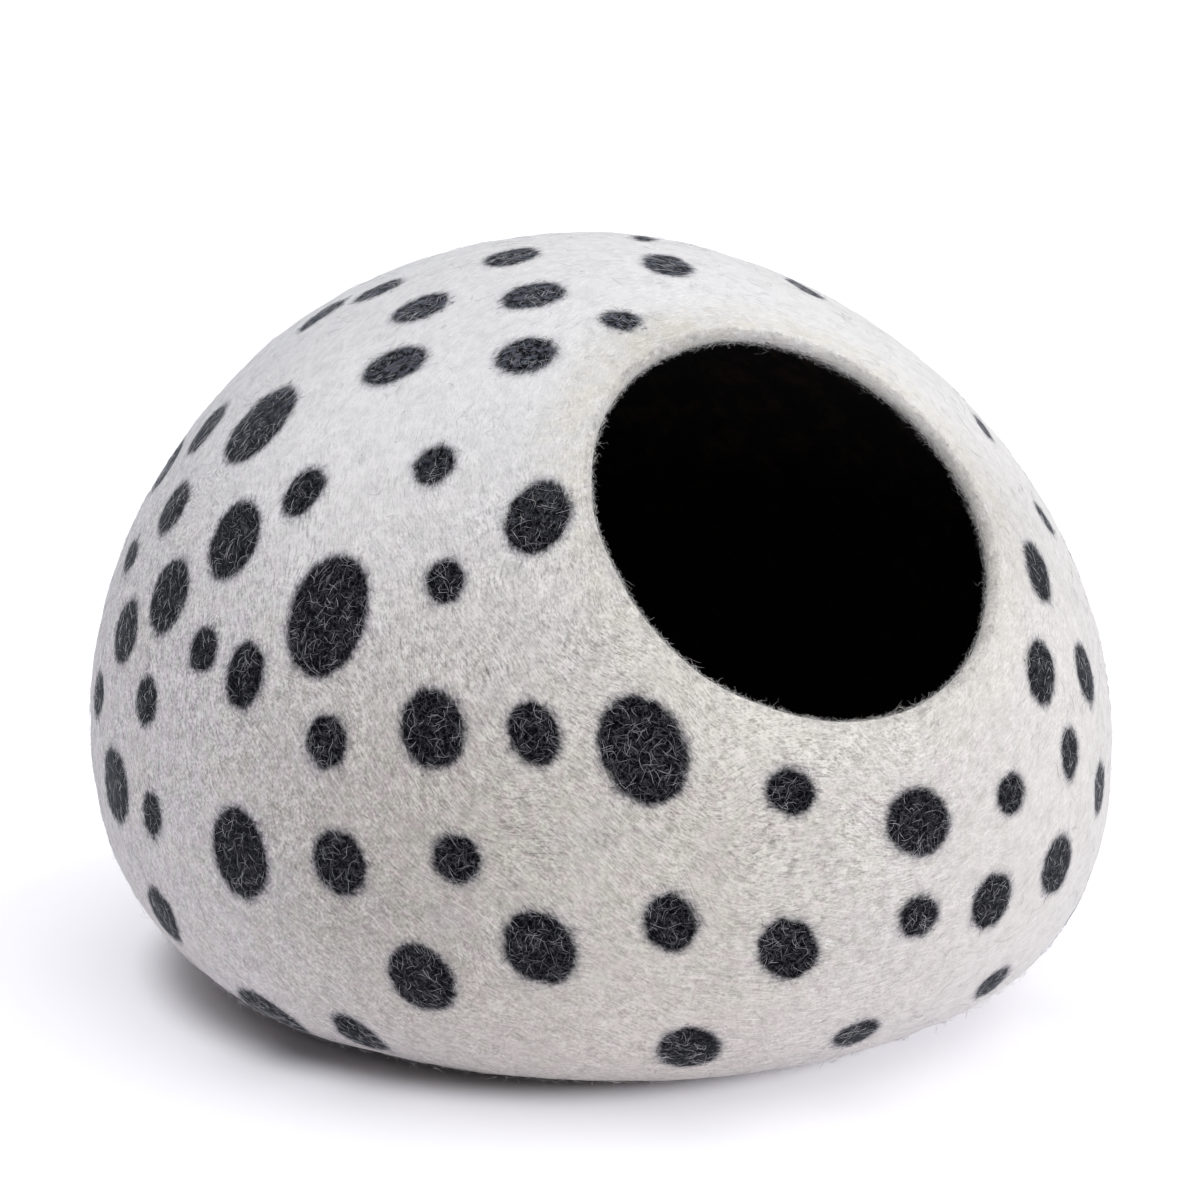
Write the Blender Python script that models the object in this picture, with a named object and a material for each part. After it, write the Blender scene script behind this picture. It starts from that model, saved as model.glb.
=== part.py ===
"""Felt cat cave: one seamless domed shell of thick wool felt.

The shell stands on a broad flat base, swells to its widest girth about a third of the way up
and closes over in a low dome whose crown leans a little to one side. A single round opening,
cut on a slant, faces forwards and upwards, and the felt ends there in a soft rounded lip.

Units are metres, +Z is up and the opening faces -Y. The origin is the middle of the base.
"""

import math
from collections import namedtuple

import bmesh
import bpy
import numpy as np

# The outside of the shell.
WIDTH = 0.470
DEPTH = 0.510
HEIGHT = 0.350
GIRTH_HEIGHT = 0.117
BASE_SHARE = 0.565          # the flat base's share of the width and of the depth
BELOW_GIRTH_POWER = 2.2     # 2 is an ellipse, more is squarer
ABOVE_GIRTH_POWER = 1.95
CROWN_LEAN = (-0.010, -0.006)
LEAN_POWER = 1.5            # how late the lean sets in above the girth

# The felt and its opening.
WALL = 0.007
LIP_RADIUS = 0.0032
LIP_STEPS = 3
OPENING_LONG = 0.190
OPENING_SHORT = 0.186
OPENING_TURN = math.radians(100.0)      # the long way, from level
OPENING_TILT = math.radians(40.0)       # the opening's axis, above level
OPENING_AXIS_HEIGHT = 0.095             # where that axis crosses the upright one

# The mesh.
SEGMENTS = 64
RINGS = 30
BISECTIONS = 40
FARTHEST = 0.40
SWELL_FADE = 0.030          # a swell grows from nothing at the base over this height
FLOOR_SNAP = 0.000001

# Soft swells (+) and hollows (-) that make the handmade shell uneven. The bearing is in degrees
# round from the opening, towards +X; the other sizes are in millimetres.
Swell = namedtuple("Swell", "bearing height reach proud")
SWELLS = (
    Swell(-113, 135, 35, 0.3),
    Swell(-72, 18, 35, 2.6),
    Swell(-93, 35, 30, -0.5),
    Swell(-111, 100, 25, -0.5),
    Swell(8, 15, 50, -1.3),
    Swell(-127, 311, 30, 0.7),
    Swell(-121, 255, 30, -1.1),
    Swell(43, 55, 35, 1.6),
    Swell(30, 20, 25, 1.4),
    Swell(50, 100, 35, -0.5),
    Swell(110, 345, 45, 0.7),
    Swell(95, 200, 50, 1.2),
    Swell(135, 120, 45, -1.4),
    Swell(178, 60, 45, 1.6),
    Swell(160, 280, 40, -1.1),
    Swell(-155, 180, 40, 1.2),
)


def dome(points):
    """The plain dome as a level set in metres: 0 on its skin, less inside, more outside."""
    height = points[:, 2]
    above = np.clip((height - GIRTH_HEIGHT) / (HEIGHT - GIRTH_HEIGHT), 0.0, None)
    below = np.clip((GIRTH_HEIGHT - height) / GIRTH_HEIGHT, 0.0, None)
    lean = np.clip(above, 0.0, 1.0) ** LEAN_POWER
    across = (points[:, 0] - CROWN_LEAN[0] * lean) / (WIDTH / 2)
    along = (points[:, 1] - CROWN_LEAN[1] * lean) / (DEPTH / 2)
    share = np.hypot(across, along)
    upper = (share ** ABOVE_GIRTH_POWER + above ** ABOVE_GIRTH_POWER) ** (1 / ABOVE_GIRTH_POWER) - 1
    bulge = np.clip(share - BASE_SHARE, 0.0, None) / (1 - BASE_SHARE)
    lower = (bulge ** BELOW_GIRTH_POWER + below ** BELOW_GIRTH_POWER) ** (1 / BELOW_GIRTH_POWER) - 1
    return WIDTH / 2 * np.where(height > GIRTH_HEIGHT, upper, (1 - BASE_SHARE) * lower)


def reach(origins, directions, level):
    """Walk from each origin along its direction to where the level set is 0, by bisection."""
    near = np.zeros(len(directions))
    far = np.full(len(directions), FARTHEST)
    for _ in range(BISECTIONS):
        middle = (near + far) / 2
        inside = level(origins + middle[:, None] * directions) < 0
        near = np.where(inside, middle, near)
        far = np.where(inside, far, middle)
    return (near + far) / 2


def swell_centres():
    """Each swell's middle, on the plain dome's skin at its bearing and height."""
    bearings = np.radians([swell.bearing for swell in SWELLS])
    outward = np.stack([np.sin(bearings), -np.cos(bearings), np.zeros(len(SWELLS))], axis=1)
    heights = np.array([swell.height for swell in SWELLS]) / 1000
    origins = np.outer(heights, (0.0, 0.0, 1.0))
    return origins + reach(origins, outward, dome)[:, None] * outward


SWELL_CENTRES = swell_centres()


def shell_level(points):
    """The uneven shell: the dome with its swells, cut off flat at the base."""
    level = dome(points)
    fade = np.clip(points[:, 2] / SWELL_FADE, 0.0, 1.0)
    for swell, centre in zip(SWELLS, SWELL_CENTRES):
        distance = np.linalg.norm(points - centre, axis=1)
        spread = swell.reach / 1000
        level = level - swell.proud / 1000 * fade * np.exp(-distance ** 2 / (2 * spread ** 2))
    return np.maximum(level, -points[:, 2])


def skin_points():
    """Points on the shell's outside: rings that widen from the opening's rim and close behind.

    Every ring has SEGMENTS points and runs round the opening's axis. The last one is a single
    point, opposite the opening.
    """
    axis = np.array([0.0, -math.cos(OPENING_TILT), math.sin(OPENING_TILT)])
    level_way = np.array([1.0, 0.0, 0.0])
    steep_way = np.cross(axis, level_way)
    turns = 2 * np.pi * np.arange(SEGMENTS) / SEGMENTS
    radial = np.outer(np.cos(turns), level_way) + np.outer(np.sin(turns), steep_way)
    centre = np.array([0.0, 0.0, OPENING_AXIS_HEIGHT])

    # The rim is an ellipse seen along the axis, carried out to the skin.
    long_part = np.cos(turns - OPENING_TURN) / (OPENING_LONG / 2)
    short_part = np.sin(turns - OPENING_TURN) / (OPENING_SHORT / 2)
    rim_radius = 1 / np.hypot(long_part, short_part)
    rim_origins = centre + rim_radius[:, None] * radial
    rim_depth = reach(rim_origins, np.broadcast_to(axis, radial.shape), shell_level)
    rim_angle = np.arctan2(rim_radius, rim_depth)

    rings = []
    for ring in range(RINGS):
        angle = rim_angle + (np.pi - rim_angle) * ring / RINGS
        directions = np.cos(angle)[:, None] * axis + np.sin(angle)[:, None] * radial
        rings.append(centre + reach(centre, directions, shell_level)[:, None] * directions)
    pole = centre - reach(centre, -axis[None], shell_level)[:, None] * axis
    points = np.concatenate(rings + [pole])
    points[points[:, 2] < FLOOR_SNAP, 2] = 0.0
    return points


def wool_felt():
    """Matt off-white felt."""
    material = bpy.data.materials.new("off_white_wool_felt")
    material.use_nodes = True
    shader = material.node_tree.nodes["Principled BSDF"]
    shader.inputs["Base Color"].default_value = (0.62, 0.60, 0.58, 1.0)
    shader.inputs["Roughness"].default_value = 0.95
    shader.inputs["Metallic"].default_value = 0.0
    return material


def felt_cave():
    """The shell: its outside as one skin, thickened inwards, with the rim's edges rounded."""
    mesh = bpy.data.meshes.new("felt_cave")
    form = bmesh.new()
    corners = [form.verts.new(point) for point in skin_points()]
    for ring in range(RINGS - 1):
        for step in range(SEGMENTS):
            here = ring * SEGMENTS + step
            beside = ring * SEGMENTS + (step + 1) % SEGMENTS
            form.faces.new([corners[k] for k in (here, here + SEGMENTS, beside + SEGMENTS, beside)])
    last = (RINGS - 1) * SEGMENTS
    for step in range(SEGMENTS):
        form.faces.new([corners[k] for k in (last + step, -1, last + (step + 1) % SEGMENTS)])
    bmesh.ops.recalc_face_normals(form, faces=form.faces)
    form.to_mesh(mesh)
    form.free()
    mesh.shade_smooth()
    mesh.set_sharp_from_angle(angle=math.radians(50.0))
    mesh.materials.append(wool_felt())

    cave = bpy.data.objects.new("felt_cave", mesh)
    bpy.context.scene.collection.objects.link(cave)
    wall = cave.modifiers.new("wall", 'SOLIDIFY')
    wall.thickness = WALL
    wall.offset = -1.0
    wall.use_even_offset = True
    lip = cave.modifiers.new("lip", 'BEVEL')
    lip.width = LIP_RADIUS
    lip.segments = LIP_STEPS
    lip.limit_method = 'ANGLE'
    lip.angle_limit = math.radians(50.0)
    return cave


for leftover in list(bpy.data.objects):
    bpy.data.objects.remove(leftover)
felt_cave()
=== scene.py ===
# %% [markdown]
# # A felt cat cave
# The real thing is one seamless shell of wet-felted wool, about as thick as a pencil: soft
# fibres matted over a round form until they lock. Charcoal wool was laid on the off-white in
# round patches and felted into it, so the spots are flush and their edges feather.
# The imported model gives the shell's true size. Everything below dresses that shell: a finer
# skin with the felt's own small lumps, a wool finish made of nodes, and loose fibres as meshes.

# %% Load the fixed frame
import math
from collections import namedtuple

import bpy
import numpy as np
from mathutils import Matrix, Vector, noise
from mathutils.bvhtree import BVHTree


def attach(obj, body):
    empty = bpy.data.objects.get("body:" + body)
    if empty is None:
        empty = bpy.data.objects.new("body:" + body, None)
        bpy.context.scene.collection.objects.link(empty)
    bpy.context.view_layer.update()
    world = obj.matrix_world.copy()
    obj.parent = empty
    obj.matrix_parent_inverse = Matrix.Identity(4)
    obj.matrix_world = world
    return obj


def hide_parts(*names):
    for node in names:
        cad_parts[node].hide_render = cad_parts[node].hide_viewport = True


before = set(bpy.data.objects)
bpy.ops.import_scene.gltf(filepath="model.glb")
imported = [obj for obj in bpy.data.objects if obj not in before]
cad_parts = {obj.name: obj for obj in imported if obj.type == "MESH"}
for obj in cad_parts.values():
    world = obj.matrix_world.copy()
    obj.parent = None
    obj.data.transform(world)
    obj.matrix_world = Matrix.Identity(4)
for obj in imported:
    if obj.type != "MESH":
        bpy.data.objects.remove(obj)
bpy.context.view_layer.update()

# %% [markdown]
# ## Where the eye stands
# A long lens from a little above the crown's level keeps the dome's outline calm. The view is
# given as a compass and a tilt around a point inside the cave, which is easier to reason about
# than a bare position. The aim lies a little above that point, to leave floor under the cave.

# %% Camera
VIEW_TURN = math.radians(-27.4)     # round from the opening's heading
VIEW_RISE = math.radians(13.6)
VIEW_DISTANCE = 1.80
VIEW_MIDDLE = Vector((0.0, 0.0, 0.16))
AIM_UP = 0.0174
AIM_RIGHT = 0.0014
LENS_MM = 114.7

view_back = Vector((
    math.sin(VIEW_TURN) * math.cos(VIEW_RISE),
    -math.cos(VIEW_TURN) * math.cos(VIEW_RISE),
    math.sin(VIEW_RISE),
))
view_right = Vector((math.cos(VIEW_TURN), math.sin(VIEW_TURN), 0.0))
view_up = view_back.cross(view_right)
camera = bpy.data.objects.new("camera", bpy.data.cameras.new("camera"))
bpy.context.scene.collection.objects.link(camera)
camera.data.lens = LENS_MM
camera.location = VIEW_MIDDLE + VIEW_DISTANCE * view_back
aim = VIEW_MIDDLE + AIM_UP * view_up + AIM_RIGHT * view_right
camera.rotation_euler = (aim - camera.location).to_track_quat("-Z", "Y").to_euler()
bpy.context.scene.camera = camera
print("camera at", [round(c, 3) for c in camera.location])

# %% [markdown]
# ## The shell's form
# The form is a level set, a formula that is negative inside the shell, positive outside and
# zero on its skin. It has the same named sizes as the solid, so the fine skin lies exactly on
# it. Each point of the skin is then found by walking out along a line until the formula
# changes sign, which works for any form and needs no table of points.

# %% The form's sizes, in metres
MM = 1000.0     # in a metre
WIDTH = 0.470
DEPTH = 0.510
HEIGHT = 0.350
GIRTH_HEIGHT = 0.117
BASE_SHARE = 0.565
BELOW_GIRTH_POWER = 2.2
ABOVE_GIRTH_POWER = 1.95
CROWN_LEAN = (-0.010, -0.006)
LEAN_POWER = 1.5
WALL = 0.007
OPENING_LONG = 0.190
OPENING_SHORT = 0.186
OPENING_TURN = math.radians(100.0)
OPENING_TILT = math.radians(40.0)
OPENING_AXIS_HEIGHT = 0.095
SWELL_FADE = 0.030
BISECTIONS = 28
FARTHEST = 0.40

# The handmade unevenness: soft swells (+) and hollows (-), bearing in degrees round from the
# opening, other sizes in millimetres.
Swell = namedtuple("Swell", "bearing height reach proud")
SWELLS = (
    Swell(-113, 135, 35, 0.3),
    Swell(-72, 18, 35, 2.6),
    Swell(-93, 35, 30, -0.5),
    Swell(-111, 100, 25, -0.5),
    Swell(8, 15, 50, -1.3),
    Swell(-127, 311, 30, 0.7),
    Swell(-121, 255, 30, -1.1),
    Swell(43, 55, 35, 1.6),
    Swell(30, 20, 25, 1.4),
    Swell(50, 100, 35, -0.5),
    Swell(110, 345, 45, 0.7),
    Swell(95, 200, 50, 1.2),
    Swell(135, 120, 45, -1.4),
    Swell(178, 60, 45, 1.6),
    Swell(160, 280, 40, -1.1),
    Swell(-155, 180, 40, 1.2),
)


# %% The plain dome, and walking out to it
def dome(points):
    """The plain dome as a level set in metres: 0 on its skin, less inside, more outside."""
    height = points[:, 2]
    above = np.clip((height - GIRTH_HEIGHT) / (HEIGHT - GIRTH_HEIGHT), 0.0, None)
    below = np.clip((GIRTH_HEIGHT - height) / GIRTH_HEIGHT, 0.0, None)
    lean = np.clip(above, 0.0, 1.0) ** LEAN_POWER
    across = (points[:, 0] - CROWN_LEAN[0] * lean) / (WIDTH / 2)
    along = (points[:, 1] - CROWN_LEAN[1] * lean) / (DEPTH / 2)
    share = np.hypot(across, along)
    upper = (share ** ABOVE_GIRTH_POWER + above ** ABOVE_GIRTH_POWER) ** (1 / ABOVE_GIRTH_POWER) - 1
    bulge = np.clip(share - BASE_SHARE, 0.0, None) / (1 - BASE_SHARE)
    lower = (bulge ** BELOW_GIRTH_POWER + below ** BELOW_GIRTH_POWER) ** (1 / BELOW_GIRTH_POWER) - 1
    return WIDTH / 2 * np.where(height > GIRTH_HEIGHT, upper, (1 - BASE_SHARE) * lower)


def reach(origins, directions, level):
    """Walk from each origin along its direction to where the level set is 0, by bisection."""
    near = np.zeros(len(directions))
    far = np.full(len(directions), FARTHEST)
    for _ in range(BISECTIONS):
        middle = (near + far) / 2
        inside = level(origins + middle[:, None] * directions) < 0
        near = np.where(inside, middle, near)
        far = np.where(inside, far, middle)
    return (near + far) / 2


# %% The uneven shell
def bearing_ways(degrees):
    """Level directions at these bearings: 0 is the opening's heading, +90 is +X."""
    turn = np.radians(degrees)
    return np.stack([np.sin(turn), -np.cos(turn), np.zeros(len(turn))], axis=1)


swell_ways = bearing_ways([swell.bearing for swell in SWELLS])
swell_origins = np.outer([swell.height / MM for swell in SWELLS], (0.0, 0.0, 1.0))
SWELL_CENTRES = swell_origins + reach(swell_origins, swell_ways, dome)[:, None] * swell_ways


def shell_level(points):
    """The dome with its swells, cut off flat at the base."""
    level = dome(points)
    fade = np.clip(points[:, 2] / SWELL_FADE, 0.0, 1.0)
    for swell, centre in zip(SWELLS, SWELL_CENTRES):
        distance = np.linalg.norm(points - centre, axis=1)
        spread = swell.reach / MM
        level = level - swell.proud / MM * fade * np.exp(-distance ** 2 / (2 * spread ** 2))
    return np.maximum(level, -points[:, 2])


SLOPE_STEP = 0.0002


def outward(points):
    """Unit normals of the shell, from the level set's slope."""
    slope = np.zeros_like(points)
    for way in range(3):
        step = np.zeros(3)
        step[way] = SLOPE_STEP
        slope[:, way] = shell_level(points + step) - shell_level(points - step)
    return slope / np.linalg.norm(slope, axis=1, keepdims=True)


# %% [markdown]
# ## The fine skin
# The skin is a net of rings round the opening's own axis, so the rim is a clean ring of points
# and the lip can be rolled over it as half a circle. A net of squares cut by a hole would leave
# ragged faces there. The inside is plainer and darker, so it has fewer rings. The outside gets
# the felt's small lumps: soft mounds a few centimetres wide and finer matting on them.

# %% Rings round the opening's axis
SEGMENTS = 352
OUTER_RINGS = 172
INNER_RINGS = 40
LIP_RINGS = 9
RIM_WOBBLE = 0.0003
RIM_WAVES = ((5, 1.0, 1.0), (8, 0.7, 2.2), (13, 0.4, 0.0))   # how many round the rim, size, start

opening_axis = np.array([0.0, -math.cos(OPENING_TILT), math.sin(OPENING_TILT)])
level_way = np.array([1.0, 0.0, 0.0])
steep_way = np.cross(opening_axis, level_way)
opening_centre = np.array([0.0, 0.0, OPENING_AXIS_HEIGHT])
turns = 2 * np.pi * np.arange(SEGMENTS) / SEGMENTS
radial_ways = np.outer(np.cos(turns), level_way) + np.outer(np.sin(turns), steep_way)


def rim_radius(margin):
    """The oval rim's radius at each turn, seen along the opening's axis, cut a little unevenly."""
    long_part = np.cos(turns - OPENING_TURN) / (OPENING_LONG / 2 + margin)
    short_part = np.sin(turns - OPENING_TURN) / (OPENING_SHORT / 2 + margin)
    cut = sum(size * np.sin(waves * turns + start) for waves, size, start in RIM_WAVES)
    return 1 / np.hypot(long_part, short_part) + RIM_WOBBLE * cut


def skin_rings(count):
    """Rings of points on the outside, from the rim's shoulder to just short of the far pole."""
    radius = rim_radius(WALL / 2)
    origins = opening_centre + radius[:, None] * radial_ways
    axis_ways = np.broadcast_to(opening_axis, radial_ways.shape)
    rim_angle = np.arctan2(radius, reach(origins, axis_ways, shell_level))
    rings = []
    for ring in range(count):
        angle = rim_angle + (np.pi - rim_angle) * ring / count
        ways = np.cos(angle)[:, None] * opening_axis + np.sin(angle)[:, None] * radial_ways
        rings.append(opening_centre + reach(opening_centre, ways, shell_level)[:, None] * ways)
    return rings


outer_rings = skin_rings(OUTER_RINGS)
inner_rings = [ring - WALL * outward(ring) for ring in skin_rings(INNER_RINGS)]
pole_way = -opening_axis[None]
far_pole = opening_centre + reach(opening_centre, pole_way, shell_level)[:, None] * pole_way
print("outside:", OUTER_RINGS, "rings, inside:", INNER_RINGS, "rings of", SEGMENTS)

# %% The lip, rolled over the rim
shoulder = outer_rings[0]
shoulder_normal = outward(shoulder)
into_hole = shoulder - outer_rings[1]
into_hole -= (into_hole * shoulder_normal).sum(axis=1, keepdims=True) * shoulder_normal
into_hole /= np.linalg.norm(into_hole, axis=1, keepdims=True)
lip_spine = shoulder - WALL / 2 * shoulder_normal
lip_rings = []
for ring in range(1, LIP_RINGS):
    roll = np.pi * ring / LIP_RINGS
    way = math.cos(roll) * shoulder_normal + math.sin(roll) * into_hole
    lip_rings.append(lip_spine + WALL / 2 * way)
print("lip radius", WALL / 2 * MM, "mm")

# %% Small lumps on the outside
MOUND_SIZE = 0.028
MOUND_PROUD = 0.0006
MAT_SIZE = 0.011
MAT_PROUD = 0.0004
LUMP_FADE = 0.006       # nothing is added where the base meets the floor
LIP_FADE = 6            # rings over which the lumps grow from nothing at the lip


def lump(point):
    """How far the felt stands proud at a point, in metres."""
    place = Vector(point)
    mound = noise.noise(place / MOUND_SIZE)
    mat = noise.noise(place / MAT_SIZE)
    grown = min(1.0, max(0.0, point[2]) / LUMP_FADE)
    return grown * (MOUND_PROUD * mound + MAT_PROUD * mat)


for row, ring in enumerate(outer_rings):
    share = min(1.0, row / LIP_FADE)
    outer_rings[row] = ring + share * np.array([lump(point) for point in ring])[:, None] * outward(ring)

# %% One closed mesh
def ring_quads(count, segments):
    """Faces between consecutive rings of points."""
    here = np.arange(count * segments).reshape(count, segments)
    beside = np.roll(here, -1, axis=1)
    quads = np.stack([here[:-1], beside[:-1], beside[1:], here[1:]], axis=-1)
    return quads.reshape(-1, 4).tolist()


def closed_tube(rings, first_pole, last_pole):
    """Points and faces of rings in a row, closed by a fan at each end."""
    points = np.concatenate(rings + [first_pole, last_pole])
    last = (len(rings) - 1) * SEGMENTS
    ends = len(rings) * SEGMENTS
    faces = ring_quads(len(rings), SEGMENTS)
    for step in range(SEGMENTS):
        after = (step + 1) % SEGMENTS
        faces.append((ends, after, step))
        faces.append((ends + 1, last + step, last + after))
    return points, faces


def mesh_object(name, points, faces):
    """A smooth-shaded mesh object in the scene."""
    mesh = bpy.data.meshes.new(name)
    mesh.from_pydata(points, [], faces)
    mesh.update()
    mesh.shade_smooth()
    made = bpy.data.objects.new(name, mesh)
    bpy.context.scene.collection.objects.link(made)
    return made


all_rings = outer_rings[::-1] + lip_rings + inner_rings
shell_points, shell_faces = closed_tube(all_rings, far_pole, far_pole + (0.0, 0.0, WALL))
shell = mesh_object("felt_shell", shell_points, shell_faces)
print("felt_shell:", sum(len(face) - 2 for face in shell_faces), "triangles")

# %% [markdown]
# ## The spots
# Each spot is a round or slightly oval patch of charcoal wool. It could be painted as an image,
# but a chart is clearer and stays sharp: a spot is placed by its bearing and by how far it rises
# above the level through the cave's middle, and has a long way, a short way and a lean. The walls
# that the chart leaves out get spots of the same kind, thrown by a seeded dice and kept apart.

# %% The chart of the front and the left
# Bearing, rise and lean in degrees, long and short in millimetres. The lean is the long way's
# turn from level.
Spot = namedtuple("Spot", "bearing rise long short lean")
CHARTED_SPOTS = (
    Spot(-71.5, 76.5, 27, 24, 85),
    Spot(4.0, 75.0, 30, 23, 55),
    Spot(-45.0, 67.0, 29, 24, 30),
    Spot(-101.5, 64.0, 25, 19, 75),
    Spot(-74.0, 63.0, 28, 24, 50),
    Spot(-22.0, 62.0, 19, 16, 165),
    Spot(-40.5, 56.0, 28, 24, 25),
    Spot(-66.0, 53.5, 32, 25, 30),
    Spot(-87.0, 43.0, 44, 39, 80),
    Spot(-49.5, 41.0, 21, 19, 60),
    Spot(-104.5, 39.5, 29, 24, 85),
    Spot(-68.5, 36.5, 26, 22, 70),
    Spot(-34.5, 35.5, 36, 28, 75),
    Spot(-96.5, 30.5, 28, 26, 40),
    Spot(-77.5, 30.0, 38, 34, 110),
    Spot(-44.5, 28.5, 21, 19, 105),
    Spot(-58.5, 24.0, 54, 42, 90),
    Spot(33.0, 24.0, 30, 21, 60),
    Spot(-105.0, 23.0, 22, 17, 5),
    Spot(-87.0, 22.0, 36, 34, 85),
    Spot(-76.5, 18.0, 22, 20, 45),
    Spot(-68.5, 16.5, 31, 24, 90),
    Spot(-96.5, 16.0, 32, 30, 150),
    Spot(25.5, 14.5, 30, 24, 60),
    Spot(-33.5, 14.0, 29, 22, 115),
    Spot(-44.0, 14.0, 35, 30, 110),
    Spot(-23.0, 12.5, 48, 36, 115),
    Spot(37.0, 12.0, 28, 23, 90),
    Spot(-56.0, 11.5, 24, 22, 85),
    Spot(-86.5, 10.5, 23, 21, 85),
    Spot(-9.0, 8.0, 24, 20, 150),
    Spot(-104.5, 7.0, 26, 21, 20),
    Spot(29.0, 5.5, 24, 19, 80),
    Spot(17.0, 4.0, 20, 19, 5),
    Spot(4.5, 3.5, 35, 30, 155),
    Spot(-41.0, 1.5, 23, 22, 135),
    Spot(38.5, -0.5, 24, 21, 95),
    Spot(-54.0, -0.5, 30, 28, 115),
    Spot(-95.0, -1.0, 39, 35, 10),
    Spot(-84.0, -1.5, 23, 19, 65),
    Spot(-67.5, -2.0, 42, 36, 100),
    Spot(-20.5, -4.0, 28, 23, 105),
    Spot(26.5, -5.5, 30, 27, 140),
    Spot(5.0, -6.0, 23, 20, 145),
    Spot(15.0, -6.5, 28, 26, 125),
    Spot(-33.0, -7.0, 36, 31, 115),
    Spot(-9.0, -7.5, 33, 26, 125),
    Spot(-45.5, -12.0, 36, 32, 90),
    Spot(-87.5, -14.5, 37, 27, 40),
    Spot(22.5, -19.0, 25, 20, 145),
    Spot(-17.5, -20.0, 35, 28, 105),
    Spot(2.5, -21.0, 27, 22, 130),
    Spot(-57.0, -23.5, 34, 23, 95),
    Spot(-72.5, -25.0, 44, 37, 38),
    Spot(60.0, 84.7, 18, 10, 152),
    Spot(56.0, 65.5, 24, 15, 33),
    Spot(-109.5, 57.5, 27, 18, 99),
    Spot(50.0, 39.8, 20, 11, 21),
    Spot(-115.0, 32.5, 34, 26, 171),
    Spot(47.0, 28.0, 18, 14, 99),
)
print("charted spots:", len(CHARTED_SPOTS))

# %% Spots on the skin
SPOT_MIDDLE = np.array([0.0, 0.0, GIRTH_HEIGHT])
UP = np.array([0.0, 0.0, 1.0])
Patch = namedtuple("Patch", "centre normal long_way short_way long short")


def skin_ways(normals):
    """The level way and the steep way along the skin at these normals."""
    level = np.cross(UP, normals)
    level /= np.linalg.norm(level, axis=1, keepdims=True) + 1e-9
    return level, np.cross(normals, level)


def patches_of(spots):
    """Where each spot lies on the skin, and its two ways along it."""
    rises = np.radians([spot.rise for spot in spots])[:, None]
    ways = np.cos(rises) * bearing_ways([spot.bearing for spot in spots]) + np.sin(rises) * UP
    centres = SPOT_MIDDLE + reach(SPOT_MIDDLE, ways, shell_level)[:, None] * ways
    normals = outward(centres)
    level, steep = skin_ways(normals)
    leans = np.radians([spot.lean for spot in spots])[:, None]
    long_ways = np.cos(leans) * level + np.sin(leans) * steep
    short_ways = np.cross(normals, long_ways)
    return [
        Patch(*place, spot.long / 2 / MM, spot.short / 2 / MM)
        for spot, *place in zip(spots, centres, normals, long_ways, short_ways)
    ]


# %% Spots on the walls that the chart leaves out
SPOT_SEED = 11
THROWS = 2600
LEAST_GAP = 0.013       # between the edges of two spots
RIM_GAP = 0.012
LOWEST_SPOT = 0.018
SMALLEST_SPOT = 19.0    # mm
SPOT_RANGE = 30.0       # mm, from the smallest to the largest
RARE_LARGE = 2.2        # the higher, the rarer the large spots
LOWEST_SINE = -0.35     # of a spot's rise
ROUNDNESS = (0.78, 0.96)    # short way to long way
CHART_EDGE = 0.05       # a patch turned away from the eye by this much is off the chart


def clear_of(patch, patches):
    """Whether a patch keeps its distance from the others, the rim and the floor."""
    for other in patches:
        if np.linalg.norm(patch.centre - other.centre) < patch.long + other.long + LEAST_GAP:
            return False
    from_axis = patch.centre - opening_centre
    depth = from_axis @ opening_axis
    off_axis = np.linalg.norm(from_axis - depth * opening_axis)
    if depth > 0 and off_axis < OPENING_LONG / 2 + patch.long + RIM_GAP:
        return False
    return patch.centre[2] - patch.long > LOWEST_SPOT


def thrown_spot(dice):
    """A spot anywhere on the dome, small more often than large."""
    size = SMALLEST_SPOT + SPOT_RANGE * dice.random() ** RARE_LARGE
    return Spot(
        dice.uniform(-180, 180),
        math.degrees(math.asin(dice.uniform(LOWEST_SINE, 1.0))),
        size,
        size * dice.uniform(*ROUNDNESS),
        dice.uniform(0, 180),
    )


dice = np.random.default_rng(SPOT_SEED)
patches = patches_of(CHARTED_SPOTS)
for patch in patches_of([thrown_spot(dice) for _ in range(THROWS)]):
    eye_way = np.array(camera.location) - patch.centre
    faces_eye = patch.normal @ eye_way / np.linalg.norm(eye_way) > -CHART_EDGE
    if not faces_eye and clear_of(patch, patches):
        patches.append(patch)
print("spots in all:", len(patches))

# %% How far each point is from a spot
FAR_FROM_SPOTS = 30.0       # mm


def spot_gaps(points):
    """Millimetres from each point to the nearest spot's edge, less than 0 on a spot."""
    gaps = np.full(len(points), FAR_FROM_SPOTS)
    for patch in patches:
        away = points - patch.centre
        near = np.flatnonzero(np.abs(away).max(axis=1) < patch.long + FAR_FROM_SPOTS / MM)
        along = away[near] @ patch.long_way
        across = away[near] @ patch.short_way
        share = np.hypot(along / patch.long, across / patch.short) + 1e-6
        slope = np.hypot(along / patch.long ** 2, across / patch.short ** 2) / share + 1e-3
        gaps[near] = np.minimum(gaps[near], (share - 1) / slope * MM)
    return gaps


def set_value(made, name, values):
    """Give a mesh object's points a named value that its material can read."""
    values = np.asarray(values, dtype=np.float32)
    kind, field = ("FLOAT_VECTOR", "vector") if values.ndim == 2 else ("FLOAT", "value")
    layer = made.data.attributes.new(name, kind, "POINT")
    layer.data.foreach_set(field, values.ravel())


outside_count = OUTER_RINGS * SEGMENTS
spot_gap = np.full(len(shell_points), FAR_FROM_SPOTS)
spot_gap[:outside_count] = spot_gaps(shell_points[:outside_count])
set_value(shell, "spot_gap", spot_gap)

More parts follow.
